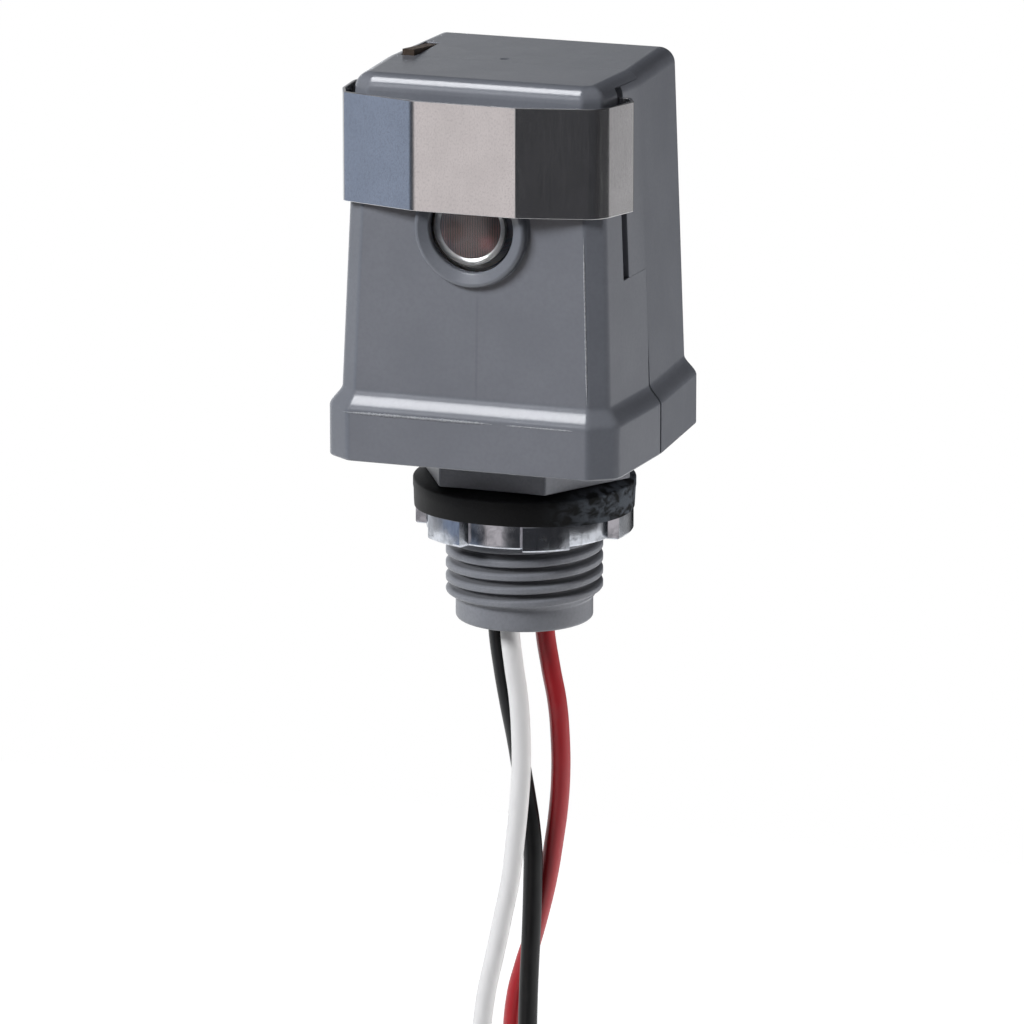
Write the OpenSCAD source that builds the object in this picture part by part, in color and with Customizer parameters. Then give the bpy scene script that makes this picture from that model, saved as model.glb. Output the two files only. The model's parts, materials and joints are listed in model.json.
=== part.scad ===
// Stem-mount photocell switch: a moulded two-part housing on a threaded conduit stem, with a sliding
// metal light shield in front of its lens and a bimetal switch inside.
// The stem's axis is Z. The origin is on it, at the underside of the locknut, where the free thread starts.
// The lens looks along -Y.

/* [Housing] */
// Width of the base at the seam
base_w = 41.6; // [38:0.2:50]
// Distance from the stem axis to the front of the base
base_front = 22.4; // [20:0.2:28]
// Distance from the stem axis to the back of the base
base_rear = 14.3; // [13.9:0.2:20]
// Height of the upright rim of the base
base_h = 6.6; // [5:0.1:9]
// Height of the body above the base
body_h = 43.9; // [43:0.1:60]
// How far the body is set in from the base
body_step = 1.5; // [1:0.1:2.4]
// Height of the hollow curve between base and body
cove_h = 2.8; // [1.5:0.1:5]
// How far each side leans in between base and top
side_lean = 1.7; // [0.5:0.1:3]
// How far the front leans in between base and top
front_lean = 1.6; // [0.5:0.1:3]
// How much narrower each side is at the front than at the seam
front_draft = 1.0; // [0.2:0.1:1.6]
// How much narrower each side is at the back than at the seam
rear_draft = 1.1; // [0.2:0.1:1.6]
// How much of the body's front each upright corner cuts off
corner_cut = 2.3; // [2.2:0.05:3]
// How much of the body's back each rear corner cuts off
rear_cut = 1.1; // [0.8:0.05:1.6]
// Angle between the front and the corner's cut
corner_angle = 35; // [30:1:45]
// Radius that softens the edges of the corner's cut
corner_soft = 0.5; // [0.2:0.05:0.8]
// Radius of the body's top edges
top_r = 2.1; // [2:0.1:3]
// Wall thickness of the housing
wall = 1.6; // [1.2:0.1:2]
// Distance of the seam in front of the stem axis
seam_y = 5.6; // [4.5:0.1:7]
// Gap along the seam
seam_gap = 0.12; // [0.05:0.01:0.3]
// How far the top of the front shell reaches behind the seam
top_tongue = 6.4; // [4:0.1:8]

/* [Lens] */
// Height of the lens centre above the base's underside
lens_h = 31.5; // [29:0.1:34]
// Diameter of the lens window
lens_d = 11.4; // [9:0.1:12]
// Outer diameter of the raised ring round the lens
bezel_d = 15.1; // [14.6:0.1:18]
// How far the ring stands in front of the housing
bezel_h = 1.5; // [0.8:0.1:1.8]
// Thickness of the lens at its rim
lens_t = 2.2; // [1.8:0.1:2.6]
// Diameter of the photocell
cell_d = 9.6; // [7:0.1:10]
// Thickness of the photocell
cell_t = 2.2; // [1.5:0.1:3]

/* [Shield] */
// Height of the light shield
shield_h = 14.3; // [12:0.1:16]
// Thickness of the shield's strip
shield_t = 0.45; // [0.3:0.05:0.6]
// Width of the shield's middle facet
shield_bay = 14; // [10:0.2:18]
// Distance from the stem axis to the shield's middle facet
shield_reach = 23.4; // [23:0.1:25]
// Clearance between shield and housing at the corners
shield_gap = 0.12; // [0.1:0.01:0.4]
// Height of the shield's lower edge above the base's underside
shield_z = 34.0; // [33:0.1:35]
// Length of the shield's flared right side
shield_side = 4.2; // [3:0.1:5]
// Length of the shield's upright left side
shield_left = 4.4; // [3:0.1:5]
// Width of the slots that hold the shield
slot_w = 1.7; // [1.5:0.1:2.4]
// Distance of the slots in front of the stem axis
slot_y = 12.2; // [11.6:0.1:13]
// Height of the slots' lower end above the base's underside
slot_foot = 24.6; // [23:0.1:26]

/* [Stem] */
// Width of the hexagon across its flats
hex_af = 25.4; // [23:0.1:27]
// Height of the hexagon
hex_h = 5.0; // [3:0.1:8]
// Diameter over the thread's crests
thread_d = 20.8; // [20:0.1:21.4]
// How much the tapered thread grows in radius between its free length and the locknut
thread_taper = 0.2; // [0.17:0.01:0.3]
// Length of free thread below the locknut
thread_free = 9.0; // [6:0.1:14]
// Diameter of the plain end below the thread
pilot_d = 18.2; // [16:0.1:18.6]
// Length of the plain end
pilot_h = 3.2; // [2:0.1:6]
// Diameter of the stem's bore
bore_d = 13; // [12:0.1:14]
// Width of the square neck held by the housing's floor
neck_w = 18; // [16.5:0.1:19]

/* [Gasket and locknut] */
// Outer diameter of the gasket
gasket_d = 29.5; // [26:0.1:34]
// Thickness of the gasket
gasket_t = 4.0; // [2:0.1:6]
// How much wider the gasket is above than at its foot
gasket_bevel = 0.9; // [0.3:0.1:1.5]
// Diameter over the locknut's lugs
nut_d = 28.9; // [27:0.1:32]
// Thickness of the locknut
nut_t = 3.7; // [2.5:0.1:5]
// Depth of the notches between the lugs
nut_notch = 1.5; // [0.8:0.1:1.8]
// Angle that each lug takes up
lug_angle = 25; // [20:1:40]
// Radial clearance of gasket and locknut on the thread
thread_gap = 0.05; // [0.02:0.01:0.08]

/* [Leads] */
// Outside diameter of each lead
lead_d = 2.6; // [2.2:0.1:2.7]
// Diameter of the stripped conductor
core_d = 1.5; // [1:0.1:1.8]
// Length of the stripped conductor
core_l = 10; // [6:1:15]
// Depth of the lead plug's face inside the stem's mouth
plug_in = 1.0; // [0.5:0.1:3]
// Length of the lead plug
plug_l = 6; // [4:0.5:8]

/* [Switch] */
// Thickness of the brown board
board_t = 1.6; // [1.2:0.1:2]
// Thickness of the bimetal blade
blade_t = 0.6; // [0.4:0.05:1]
// Width of the bimetal blade
blade_w = 5; // [4:0.1:6]
// Length of the bimetal blade
blade_l = 24; // [20:0.5:26]
// Diameter of the contact buttons
contact_d = 3.2; // [2.4:0.1:3.6]
// Thickness of each contact button
contact_t = 0.8; // [0.6:0.1:1.2]
// Diameter of the heater resistor
heater_d = 4.4; // [3:0.1:5]
// Length of the heater resistor
heater_l = 10; // [8:0.5:12]

/* [Hidden] */
$fn = 48;
eps = 0.01;
far = 200;

// Colours
grey_plastic = [0.42, 0.43, 0.45];
black_rubber = [0.07, 0.07, 0.07];
zinc = [0.72, 0.74, 0.77];
aluminium = [0.74, 0.73, 0.72];
clear = [0.85, 0.87, 0.88, 0.4];
copper = [0.72, 0.42, 0.25];
brass = [0.78, 0.62, 0.32];
board_brown = [0.30, 0.17, 0.09];

// Heights along the stem axis
gasket_z = nut_t;
hex_z = gasket_z + gasket_t;
base_z = hex_z + hex_h;
rim_z = base_z + base_h;
top_z = rim_z + body_h;
floor_z = base_z + wall;
mouth_z = -thread_free - pilot_h;
plug_z = mouth_z + plug_in;
lens_z = base_z + lens_h;
slot_z = base_z + slot_foot;
slot_top = top_z - 1;
shield_low = base_z + shield_z;

// Outline of the housing in plan, pulled in by side, front and rear, with cut corners that are a set-in smaller
soft_steps = 2;
back_soft = 0.5;
front_angle = atan(front_draft / (base_front - seam_y));
rear_angle = atan(rear_draft / (base_rear + seam_y));
cut_loss = 1 - tan(corner_angle / 2);
rear_turn = 45;
rear_loss = 1 - tan(rear_turn / 2);
least_cut = 0.15;
function unit(a) = [cos(a), sin(a)];
function arc(c, r, a0, a1, steps) = [for (i = [0 : steps]) c + r * unit(a0 + (a1 - a0) * i / steps)];
function rounded(v, a0, a1, r) =
    arc(v - r / cos((a1 - a0) / 2) * unit((a0 + a1) / 2), r, a0, a1, soft_steps);
function side_at(y, side) = base_w / 2 - side
    - (y < -seam_y ? -(y + seam_y) * tan(front_angle) : (y + seam_y) * tan(rear_angle));
function cut_at(more) = corner_cut - more * cut_loss;
function cut_span(cut, draft) = cut / (cos(corner_angle) - sin(corner_angle) * tan(draft));
function front_edge(side, front, more) = [side_at(front - base_front, side) - cut_at(more), front - base_front];
function flank_edge(side, front, more) =
    front_edge(side, front, more) + cut_span(cut_at(more), front_angle) * unit(corner_angle);
function plan_right(side, front, rear, more) =
    let (
        y1 = base_rear - rear,
        soft = corner_soft * cut_at(more) / corner_cut,
        back_cut = max(rear_cut - more * rear_loss, least_cut),
        back_edge = [side_at(y1, side) - back_cut, y1],
        back_flank = back_edge + back_cut / (cos(rear_turn) * (1 - tan(rear_angle))) * unit(-rear_turn))
    concat(
        rounded(front_edge(side, front, more), -90, corner_angle - 90, soft),
        rounded(flank_edge(side, front, more), corner_angle - 90, -front_angle, soft),
        [[base_w / 2 - side, -seam_y]],
        rounded(back_flank, rear_angle, rear_turn, back_cut * back_soft),
        rounded(back_edge, rear_turn, 90, back_cut * back_soft));
function mirrored(pts) = [for (i = [len(pts) - 1 : -1 : 0]) [-pts[i][0], pts[i][1]]];
function plan(side, front, rear, more) =
    let (half = plan_right(side, front, rear, more))
    concat(half, mirrored(half));

// Skin through a stack of outlines, each given as [height, side, front, rear, set-in of the corners]
module skin(stack) {
    rings = [for (s = stack) [for (p = plan(s[1], s[2], s[3], s[4])) [p[0], p[1], s[0]]]];
    n = len(rings[0]);
    last = len(stack) - 1;
    points = [for (ring = rings) for (p = ring) p];
    sides = [for (k = [0 : last - 1]) for (i = [0 : n - 1])
        let (a = k * n + i, b = k * n + (i + 1) % n, c = b + n, d = a + n)
        each [[a, c, b], [a, d, c]]];
    foot = [for (i = [0 : n - 1]) i];
    head = [for (i = [n - 1 : -1 : 0]) last * n + i];
    polyhedron(points, concat(sides, [foot, head]), convexity = 6);
}

// Share of the lean at a height, and one outline of the body there
function lean_at(z) = (z - rim_z) / body_h;
function body_row(z, more) = let (k = lean_at(z))
    [z, body_step + side_lean * k + more, body_step + front_lean * k + more, body_step + more, more];
cove_steps = 5;
round_steps = 6;
cove_rows = [for (i = [0 : cove_steps - 1]) let (t = i / cove_steps, s = t * t * (3 - 2 * t))
    [rim_z + cove_h * t, for (lean = [side_lean, front_lean, 0])
        (body_step + lean * cove_h / body_h) * s, body_step * (s - 1)]];
round_rows = [for (i = [0 : round_steps]) let (a = 90 * i / round_steps)
    body_row(top_z - top_r * (1 - sin(a)), top_r * (1 - cos(a)))];
outer_rows = concat([[base_z, 0, 0, 0, -body_step]], cove_rows, [body_row(rim_z + cove_h, 0)], round_rows);
inner_top_r = top_r - wall;
inner_rows = concat([body_row(floor_z, wall)],
    [for (a = [0, 45, 90]) body_row(top_z - wall - inner_top_r * (1 - sin(a)),
        wall + inner_top_r * (1 - cos(a)))]);

// Faces of the body at a height
function front_at(z) = base_front - body_step - front_lean * lean_at(z);
function flank_at(y, z) = side_at(y, body_step + side_lean * lean_at(z));
lens_face = front_at(lens_z);
bezel_face = lens_face + bezel_h;
rear_face = base_rear - body_step;

// The tab of the brown board shows in a notch of the top's left edge
tab_l = 9.2;
tab_gap = 0.15;
board_back = 9.0;
board_front = 13.6;
board_gap = 0.25;
board_x = wall + board_gap - flank_at(board_back, top_z);
board_face = board_x + board_t;
board_top = top_z - wall - top_r;
tab_y = -seam_y + seam_gap + tab_gap;
tab_rise = 0.75;
tab_drop = 0.2;
tab_front_top = top_z + tab_rise;
tab_rear_top = top_z - tab_drop;
tongue_edge = 0.4;
tongue_x = tongue_edge - board_face;

module box(low, high) {
    translate(low) cube(high - low);
}

// Space taken by the front shell: all in front of the seam, the top's tongue, less the rear cover's cheeks
cheek_front = slot_y - slot_w / 2;
module front_space(gap) {
    difference() {
        union() {
            box([-far, -far, -far], [far, -seam_y - gap, far]);
            box([-tongue_x + gap, -far, top_z - wall - eps], [tongue_x - gap, top_tongue - seam_y - gap, far]);
        }
        for (side = [-1, 1])
            cheek(side, gap);
    }
}
module cheek(side, gap) {
    low = [side > 0 ? tongue_x : -far, -cheek_front - gap, slot_z - gap];
    high = [side > 0 ? far : -tongue_x, 0, slot_top + gap];
    box(low, high);
}

// Openings through both halves of the housing
neck_gap = 0.1;
module openings() {
    for (side = [0, 1])
        mirror([side, 0, 0])
        box([tongue_x, -slot_y - slot_w / 2, slot_z], [far, -cheek_front, slot_top]);
    neck = neck_w / 2 + neck_gap;
    box([-neck, -neck, base_z - eps], [neck, neck, floor_z + eps]);
    box([board_x - tab_gap, tab_y - tab_gap, board_top], [board_face + tab_gap, tab_y + tab_l + tab_gap, far]);
}

module housing() {
    difference() {
        skin(outer_rows);
        skin(inner_rows);
        openings();
    }
}

// Turned shape about the lens axis: profile points are [radius, distance in front of the stem axis]
module about_lens(profile) {
    translate([0, 0, lens_z])
        rotate([90, 0, 0])
        rotate_extrude()
        polygon(profile);
}

lens_r = lens_d / 2;
lens_gap = 0.05;
lens_lip = 1.0;
lens_seat = lens_face - wall;
bezel_r = bezel_d / 2;
bezel_round = bezel_h * 0.6;
bezel_land = 0.5;

module front_shell() {
    color(grey_plastic)
    difference() {
        union() {
            intersection() {
                housing();
                front_space(seam_gap / 2);
            }
            about_lens(concat(
                [[lens_r, lens_seat], [bezel_r, lens_seat]],
                arc([bezel_r - bezel_round, bezel_face - bezel_round], bezel_round, 0, 90, 5),
                [[lens_r + bezel_land, bezel_face], [lens_r, bezel_face - bezel_land]]));
        }
        about_lens([[0, lens_seat - wall], [lens_r + lens_lip, lens_seat - wall], [lens_r + lens_lip, lens_seat],
            [lens_r, lens_seat], [lens_r, bezel_face + wall], [0, bezel_face + wall]]);
    }
}

module rear_cover() {
    color(grey_plastic)
    difference() {
        housing();
        front_space(-seam_gap / 2);
    }
}

// Hexagon, threaded stem and the square neck that the two halves of the housing close round
plate_t = 2;
plate_edge = 3;
nut_crest_d = thread_d + 2 * thread_taper;
module stem_base() {
    plate = neck_w / 2 + plate_edge;
    plate_rear = min(plate, rear_face - wall - neck_gap);
    color(grey_plastic)
    difference() {
        union() {
            box([-plate, -plate, floor_z], [plate, plate_rear, floor_z + plate_t]);
            box([-neck_w / 2, -neck_w / 2, base_z - eps], [neck_w / 2, neck_w / 2, floor_z + eps]);
            translate([0, 0, hex_z])
                rotate(30)
                cylinder(d = hex_af / cos(30), h = hex_h, $fn = 6);
            cylinder(d = nut_crest_d, h = hex_z + eps);
            translate([0, 0, -thread_free])
                cylinder(d = thread_d, h = thread_free + eps);
            translate([0, 0, mouth_z])
                cylinder(d = pilot_d, h = pilot_h + eps);
        }
        translate([0, 0, mouth_z - eps])
            cylinder(d = bore_d, h = floor_z + plate_t - mouth_z + 2 * eps);
    }
}

module gasket() {
    bore = nut_crest_d / 2 + thread_gap;
    rim = gasket_d / 2;
    widest = gasket_t * 0.6;
    color(black_rubber)
    translate([0, 0, gasket_z])
        rotate_extrude()
        polygon([[bore, 0], [rim - gasket_bevel / 2, 0], [rim, widest], [rim, gasket_t], [bore, gasket_t]]);
}

lugs = 6;
lug_turn = 1;
module locknut() {
    notch_angle = 360 / lugs - lug_angle;
    root = nut_d / 2 - nut_notch;
    color(zinc)
    difference() {
        cylinder(d = nut_d, h = nut_t);
        translate([0, 0, -eps])
            cylinder(d = nut_crest_d + 2 * thread_gap, h = nut_t + 2 * eps);
        for (i = [0 : lugs - 1])
            rotate(lug_turn + (i + 0.5) * 360 / lugs - notch_angle / 2)
            translate([0, 0, -eps])
            rotate_extrude(angle = notch_angle)
            translate([root, 0])
            square([nut_notch + 1, nut_t + 2 * eps]);
    }
}

// Bent strip of the shield: outer line of one half, then the strip between it and its inner line.
// Its right side is sprung out and its left side lies along the housing.
flare = 75;
left_flare = 91;
bay_r = 0.8;
bend_steps = 6;
slot_end_gap = 0.4;
shield_lowest = slot_z + slot_end_gap;
tip_in = 2.9;
shield_bend = 3;
lowest_row = body_row(shield_lowest, 0);
cut_from = front_edge(lowest_row[1], lowest_row[2], 0);
cut_to = flank_edge(lowest_row[1], lowest_row[2], 0);
cut_half = norm(cut_to - cut_from) / 2;
shield_corner = (cut_from + cut_to) / 2
    + sqrt(shield_bend * shield_bend - cut_half * cut_half) * unit(corner_angle + 90);
shield_corner_r = shield_bend + shield_gap + shield_t;
function facet_angle() =
    let (d = shield_corner - [shield_bay / 2, -shield_reach], l = norm(d))
    atan2(d[1], d[0]) - asin(shield_corner_r / l);
function strip(inset, flare, side_l) =
    let (
        r = shield_corner_r - inset,
        bay = [shield_bay / 2 - inset * tan(facet_angle() / 2), inset - shield_reach],
        side_start = shield_corner + r * unit(flare - 90),
        elbow = side_start + side_l * unit(flare) + inset * [0, -0.4],
        wall_x = flank_at(-slot_y, shield_lowest),
        entry = [wall_x + shield_gap + 0.5 - inset, -slot_y + (shield_t / 2 - inset)],
        tip = [wall_x - tip_in, entry[1]])
    concat([bay], arc(shield_corner, r, facet_angle() - 90, flare - 90, bend_steps), [elbow, entry, tip]);
module light_shield() {
    outer = strip(0, flare, shield_side);
    inner = strip(shield_t, flare, shield_side);
    left_outer = strip(0, left_flare, shield_left);
    left_inner = strip(shield_t, left_flare, shield_left);
    color(aluminium)
    translate([0, 0, shield_low])
        linear_extrude(shield_h)
        polygon(concat(outer, [for (i = [len(inner) - 1 : -1 : 0]) inner[i]],
            mirrored([for (i = [len(inner) - 1 : -1 : 0]) left_inner[i]]), mirrored(left_outer)));
}

// Clear window with a domed face and a lip behind the wall
dome_h = 0.7;
lens_lip_t = 0.8;
lens_back = lens_seat - lens_lip_t;
lens_edge = lens_back + lens_t;
module lens() {
    r = lens_r - lens_gap;
    sphere_r = (r * r + dome_h * dome_h) / (2 * dome_h);
    color(clear)
    union() {
        about_lens([[0, lens_back], [r + lens_lip, lens_back], [r + lens_lip, lens_seat], [r, lens_seat],
            [r, lens_edge], [0, lens_edge]]);
        about_lens(concat([[0, lens_edge]],
            arc([0, lens_edge + dome_h - sphere_r], sphere_r, acos(r / sphere_r), 90, 8)));
    }
}

cell_face = lens_back;
cell_back = cell_face - cell_t;
module photocell() {
    color([0.45, 0.40, 0.36])
    about_lens([[0, cell_back], [cell_d / 2, cell_back], [cell_d / 2, cell_face], [0, cell_face]]);
}

// Round wire through a list of points, with balls at the bends
module wire(pts, d) {
    for (i = [0 : len(pts) - 2]) {
        step = pts[i + 1] - pts[i];
        l = norm(step);
        if (l > eps)
            translate(pts[i])
            rotate([0, acos(step[2] / l), atan2(step[1], step[0])])
            cylinder(d = d, h = l, $fn = 24);
        if (i > 0 && l > eps)
            translate(pts[i]) sphere(d = d, $fn = 24);
    }
}

cell_wire_d = 0.6;
cell_pin = 1.7;
cell_run = 3.5;
module photocell_leads() {
    color(zinc)
    for (side = [-1, 1]) {
        y = -cell_back + cell_run + side;
        z = lens_z + side * cell_pin;
        wire([[side * cell_pin, -cell_back, z], [side * cell_pin, y, z], [board_face, y, z]], cell_wire_d);
    }
}

// Brown board that carries the switch, standing on the floor with its tab in the notch
module terminal_board() {
    color(board_brown)
    union() {
        box([board_x, -board_front, floor_z], [board_face, board_back, board_top]);
        translate([board_face, 0, 0])
            rotate([0, -90, 0])
            linear_extrude(board_t)
            polygon([[board_top - eps, tab_y], [tab_front_top, tab_y], [tab_rear_top, tab_y + tab_l],
                [board_top - eps, tab_y + tab_l]]);
    }
}

// Places on the board, measured from the floor
blade_z = floor_z + 12.5;
blade_y = 1.5;
blade_x = board_face + 3;
bracket_t = 0.8;
bracket_w = 5.4;
arm_y = blade_y + blade_t / 2;
contact_z = blade_z + blade_l - contact_d;
contact_x = blade_x + blade_w / 2;
arm_face = arm_y + 2 * contact_t;

// Angle bracket: a foot against the board and a wing that stands out along X
module bracket(y, z, reach) {
    box([board_face, y, z], [board_face + bracket_t, y + bracket_w, z + bracket_w]);
    box([board_face, y, z], [board_face + reach, y + bracket_t, z + bracket_w]);
}

module blade_bracket() {
    color(brass)
    bracket(arm_y, blade_z - bracket_w / 2, contact_x - board_face + blade_w / 2);
}

module bimetal_blade() {
    color(copper)
    box([blade_x, arm_y - blade_t, blade_z], [blade_x + blade_w, arm_y, blade_z + blade_l]);
}

module button(y) {
    translate([contact_x, y, contact_z])
        rotate([-90, 0, 0])
        cylinder(d = contact_d, h = contact_t);
}

module moving_contact() {
    color(zinc) button(arm_y);
}

module fixed_contact() {
    color(zinc) button(arm_y + contact_t);
}

// Thin arm that carries the fixed contact, held by its bracket and set by the screw
arm_t = 0.6;
arm_foot = contact_z - contact_d;
arm_head = contact_z + 2 * contact_d;
module contact_arm() {
    color(copper)
    box([blade_x, arm_face, arm_foot], [blade_x + blade_w, arm_face + arm_t, arm_head]);
}

arm_bracket_z = arm_head - bracket_w;
module contact_bracket() {
    color(brass)
    difference() {
        bracket(arm_face + arm_t, arm_bracket_z, contact_x - board_face + blade_w / 2);
        translate([contact_x, 0, screw_z])
            rotate([-90, 0, 0])
            cylinder(d = screw_d + 2 * screw_gap, h = far);
    }
}

screw_d = 2;
screw_gap = 0.05;
screw_head_d = 3.6;
screw_head_t = 1.2;
screw_slot = 0.5;
screw_z = arm_bracket_z + bracket_w / 2;
module calibration_screw() {
    back = arm_face + arm_t + bracket_t;
    color(brass)
    translate([contact_x, 0, screw_z])
    rotate([-90, 0, 0])
    difference() {
        union() {
            translate([0, 0, arm_face + arm_t]) cylinder(d = screw_d, h = bracket_t + eps);
            translate([0, 0, back]) cylinder(d = screw_head_d, h = screw_head_t);
        }
        translate([-screw_head_d, -screw_slot / 2, back + screw_head_t / 2])
            cube([2 * screw_head_d, screw_slot, screw_head_t]);
    }
}

// Rivets with a head on each bracket's foot
rivet_d = 2;
rivet_head = 3.2;
rivet_head_t = 0.7;
module rivet(y, z) {
    translate([board_face + bracket_t, y, z])
        rotate([0, 90, 0])
        cylinder(d1 = rivet_head, d2 = rivet_d, h = rivet_head_t);
}
module board_rivets() {
    color(brass) {
        rivet(arm_y + bracket_t + (bracket_w - bracket_t) / 2, blade_z);
        rivet(arm_face + arm_t + bracket_t + (bracket_w - bracket_t) / 2, arm_bracket_z + bracket_w / 2);
    }
}

// Heater beside the blade, with bent leads into the board
heater_z = blade_z + blade_l / 2;
heater_gap = 2.2;
heater_y = arm_y - blade_t - heater_gap - heater_d / 2;
heater_wire_d = 0.8;
heater_end = 2;
module heater_resistor() {
    low = heater_z - heater_l / 2;
    high = heater_z + heater_l / 2;
    color([0.62, 0.55, 0.40])
    translate([contact_x, heater_y, low])
        cylinder(d = heater_d, h = heater_l);
    color(zinc)
    for (end = [[low, -heater_end], [high, heater_end]])
        wire([[contact_x, heater_y, end[0]], [contact_x, heater_y, end[0] + end[1]],
            [board_face, heater_y, end[0] + end[1]]], heater_wire_d);
}

// Three folded tabs along the foot of the board, one for each lead
terminal_w = 3.2;
terminal_h = 5;
terminal_t = 0.6;
terminal_out = 4;
terminal_pitch = 6;
terminal_z = floor_z + plate_t + 1;
function terminal_y(i) = black_route[0][1] + (i - 1) * terminal_pitch;
module lead_terminals() {
    color(brass)
    for (i = [0 : 2]) {
        y = terminal_y(i) - terminal_w / 2;
        box([board_face, y, terminal_z], [board_face + terminal_t, y + terminal_w, terminal_z + terminal_h]);
        box([board_face, y, terminal_z], [board_face + terminal_out, y + terminal_w, terminal_z + terminal_t]);
    }
}

// Leads: where each one leaves the plug, and the points it hangs through below
black_route = [[-3.2, -1.7, 0], [-3.1, -1.65, -3], [-2.5, -1.45, -8], [-1.7, -1.2, -13], [-1.0, -0.6, -17.6],
    [-0.5, 0.1, -22], [0.1, 0.6, -26.5], [0.65, 0.7, -30.3], [0.95, 0.75, -34], [0.9, 0.8, -38],
    [0.75, 0.75, -44], [0.35, 0.65, -54], [0.2, 0.6, -64], [0.3, 0.6, -82], [0.4, 0.6, -104],
    [0.4, 0.6, -128], [0.4, 0.6, -152]];
white_route = [[-0.9, -3.4, 0], [-0.8, -3.35, -3], [-0.3, -3.2, -7.5], [0.25, -3.1, -11.5], [0.6, -3.05, -17],
    [0.65, -3.1, -21], [0.4, -3.15, -25.5], [-0.1, -3.3, -31], [-0.75, -3.6, -37], [-1.6, -3.85, -41.5],
    [-2.7, -4.05, -47], [-3.95, -4.2, -53], [-4.7, -4.2, -60], [-5.0, -4.1, -72], [-4.9, -4.0, -92],
    [-4.8, -4.0, -120], [-4.8, -4.0, -152]];
red_route = [[2.3, 1.2, 0], [2.4, 1.3, -3], [3.1, 1.75, -8.5], [3.85, 2.15, -13.2], [4.15, 2.5, -18],
    [4.1, 2.9, -23.5], [3.65, 3.25, -28.4], [2.95, 3.5, -33], [2.05, 3.75, -38], [0.8, 3.95, -43.2],
    [-0.35, 4.1, -47.3], [-1.6, 4.2, -51.2], [-2.65, 4.25, -55.2], [-3.3, 4.3, -61], [-3.6, 4.3, -72],
    [-3.5, 4.3, -95], [-3.4, 4.3, -124], [-3.4, 4.3, -152]];
function hung(route) = [for (p = route) p + [0, 0, plug_z]];

// Tube along a route: one ring of corners at each point, square to the way through it
tube_sides = 8;
function way(route, i) =
    let (n = len(route) - 1, d = route[min(i + 1, n)] - route[max(i - 1, 0)])
    d / norm(d);
function ring_at(route, i, r) =
    let (w = i == 0 || i == len(route) - 1 ? [0, 0, -1] : way(route, i), u = cross([0, 1, 0], w),
        a = u / norm(u), b = cross(w, a))
    [for (k = [0 : tube_sides - 1]) let (t = 360 * (k + 0.5) / tube_sides)
        route[i] + r * cos(t) * a + r * sin(t) * b];
module tube(route, d) {
    n = tube_sides;
    last = len(route) - 1;
    points = [for (i = [0 : last]) each ring_at(route, i, d / 2)];
    sides = [for (k = [0 : last - 1]) for (i = [0 : n - 1])
        let (a = k * n + i, b = k * n + (i + 1) % n, c = b + n, e = a + n)
        each [[a, c, b], [a, e, c]]];
    start = [for (i = [0 : n - 1]) i];
    end = [for (i = [n - 1 : -1 : 0]) last * n + i];
    polyhedron(points, concat(sides, [start, end]), convexity = 4);
}

module black_lead() {
    color([0.05, 0.05, 0.06]) tube(hung(black_route), lead_d);
}

module white_lead() {
    color([0.90, 0.90, 0.88]) tube(hung(white_route), lead_d);
}

module red_lead() {
    color([0.62, 0.10, 0.13]) tube(hung(red_route), lead_d);
}

module stripped_tips() {
    color(copper)
    for (route = [black_route, white_route, red_route])
        translate(hung(route)[len(route) - 1] - [0, 0, core_l])
            cylinder(d = core_d, h = core_l);
}

// Plug that closes the stem's bore round the leads, and the leads' run above it to the terminals
plug_gap = 0.03;
module lead_plug() {
    color(black_rubber)
    translate([0, 0, plug_z])
        cylinder(d = bore_d - 2 * plug_gap, h = plug_l);
}

module inner_leads() {
    starts = [white_route[0], black_route[0], red_route[0]];
    tints = [[0.90, 0.90, 0.88], [0.05, 0.05, 0.06], [0.62, 0.10, 0.13]];
    low = plug_z + plug_l;
    high = terminal_z + terminal_t + lead_d / 2;
    end_x = board_face + terminal_t + lead_d / 2;
    for (i = [0 : 2]) {
        x = starts[i][0];
        y = starts[i][1];
        color(tints[i])
        wire([[x, y, low], [x, y, high], [x, terminal_y(i), high], [end_x, terminal_y(i), high]], lead_d);
    }
}

front_shell();
rear_cover();
stem_base();
gasket();
locknut();
light_shield();
lens();
photocell();
photocell_leads();
terminal_board();
heater_resistor();
bimetal_blade();
moving_contact();
fixed_contact();
contact_arm();
blade_bracket();
contact_bracket();
board_rivets();
calibration_screw();
lead_terminals();
inner_leads();
lead_plug();
black_lead();
white_lead();
red_lead();
stripped_tips();
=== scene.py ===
"""Photocell switch: the dressed model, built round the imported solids. Shapes are worked out in
millimetres, in the same frame as the solids, and become metres when a mesh is made."""

import json
import math
import random

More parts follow.
